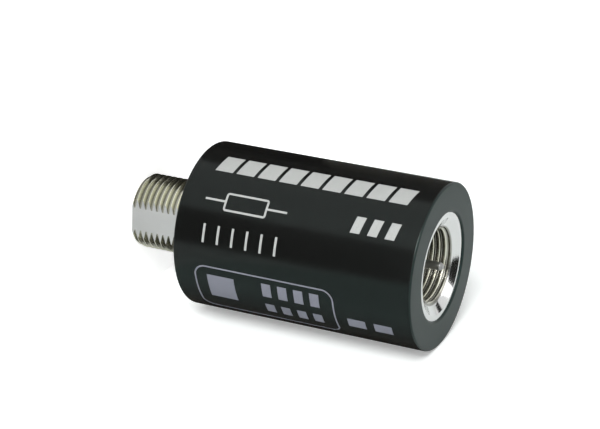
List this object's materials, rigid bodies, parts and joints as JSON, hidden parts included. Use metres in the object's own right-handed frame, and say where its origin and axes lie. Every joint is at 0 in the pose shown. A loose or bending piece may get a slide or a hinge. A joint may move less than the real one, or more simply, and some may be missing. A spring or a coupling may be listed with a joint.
{
  "type": "rf attenuator",
  "caption": "Inline coaxial attenuator: a black cylindrical sleeve with a threaded jack at one end and a recessed threaded plug with a centre pin at the other.",
  "frame": {"origin": "centre of the jack's end face, where the part stands", "axes": "+Z along the axis from the jack towards the plug mouth; -Y is the printed front; +X to the right of that front"},
  "size_m": [0.0205, 0.0204, 0.0402],
  "materials": {
    "black_sleeve": "satin black moulding",
    "nickel_plate": "polished nickel plate on brass",
    "pin_nickel": "nickel plate on brass",
    "contact_bronze": "satin bronze",
    "insulator": "satin ivory",
    "board_laminate": "satin green lacquer",
    "chip_body": "matte"
  },
  "bodies": {
    "root": {"outer_sleeve": "black_sleeve", "end_plate": "nickel_plate", "jack_shell": "nickel_plate", "jack_nose_insulator": "insulator", "jack_contact": "contact_bronze", "jack_rear_insulator": "insulator", "shield_tube": "nickel_plate", "plug_base": "nickel_plate", "plug_shell": "nickel_plate", "plug_insulator": "insulator", "plug_pin": "pin_nickel", "circuit_board": "board_laminate", "series_resistor": "chip_body", "jack_shunt_resistor": "chip_body", "plug_shunt_resistor": "chip_body"}
  },
  "joints": []
}
